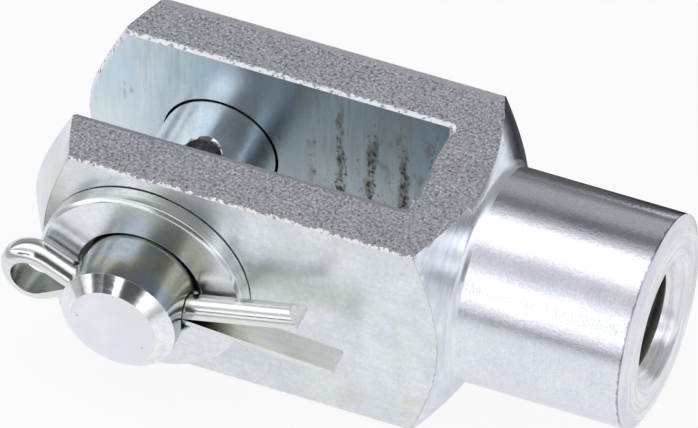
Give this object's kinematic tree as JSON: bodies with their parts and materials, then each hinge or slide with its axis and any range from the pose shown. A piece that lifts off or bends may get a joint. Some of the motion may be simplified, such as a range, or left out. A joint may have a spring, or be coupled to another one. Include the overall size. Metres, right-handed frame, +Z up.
{
  "type": "clevis rod end",
  "caption": "Steel fork head with a tapped round neck, headed clevis pin, plain washer and spread split pin.",
  "frame": {"origin": "middle of the fork's slot on the axis of the clevis pin", "axes": "+X along the rod's axis towards the tapped neck, +Y along the pin's axis towards its head, +Z up, out of one open side of the slot"},
  "size_m": [0.0523, 0.0305, 0.02],
  "materials": {
    "fork_steel": "bright zinc plate over milled and bead-dull bar faces",
    "pin_steel": "turned and bright zinc plated, bluish",
    "washer_steel": "stamped and bright zinc plated",
    "wire_steel": "drawn half-round wire, bright zinc plated"
  },
  "bodies": {
    "fork": {"clevis_fork": "fork_steel"},
    "pin": {"clevis_pin": "pin_steel", "split_pin": "wire_steel"},
    "washer": {"washer": "washer_steel"}
  },
  "joints": [
    {"name": "pin_turn", "type": "hinge", "parent": "fork", "child": "pin", "pos_m": [0, 0, 0], "axis": [0, 1, 0], "continuous": true},
    {"name": "washer_turn", "type": "hinge", "parent": "fork", "child": "washer", "pos_m": [0, -0.0109, -0.00025], "axis": [0, 1, 0], "continuous": true}
  ]
}
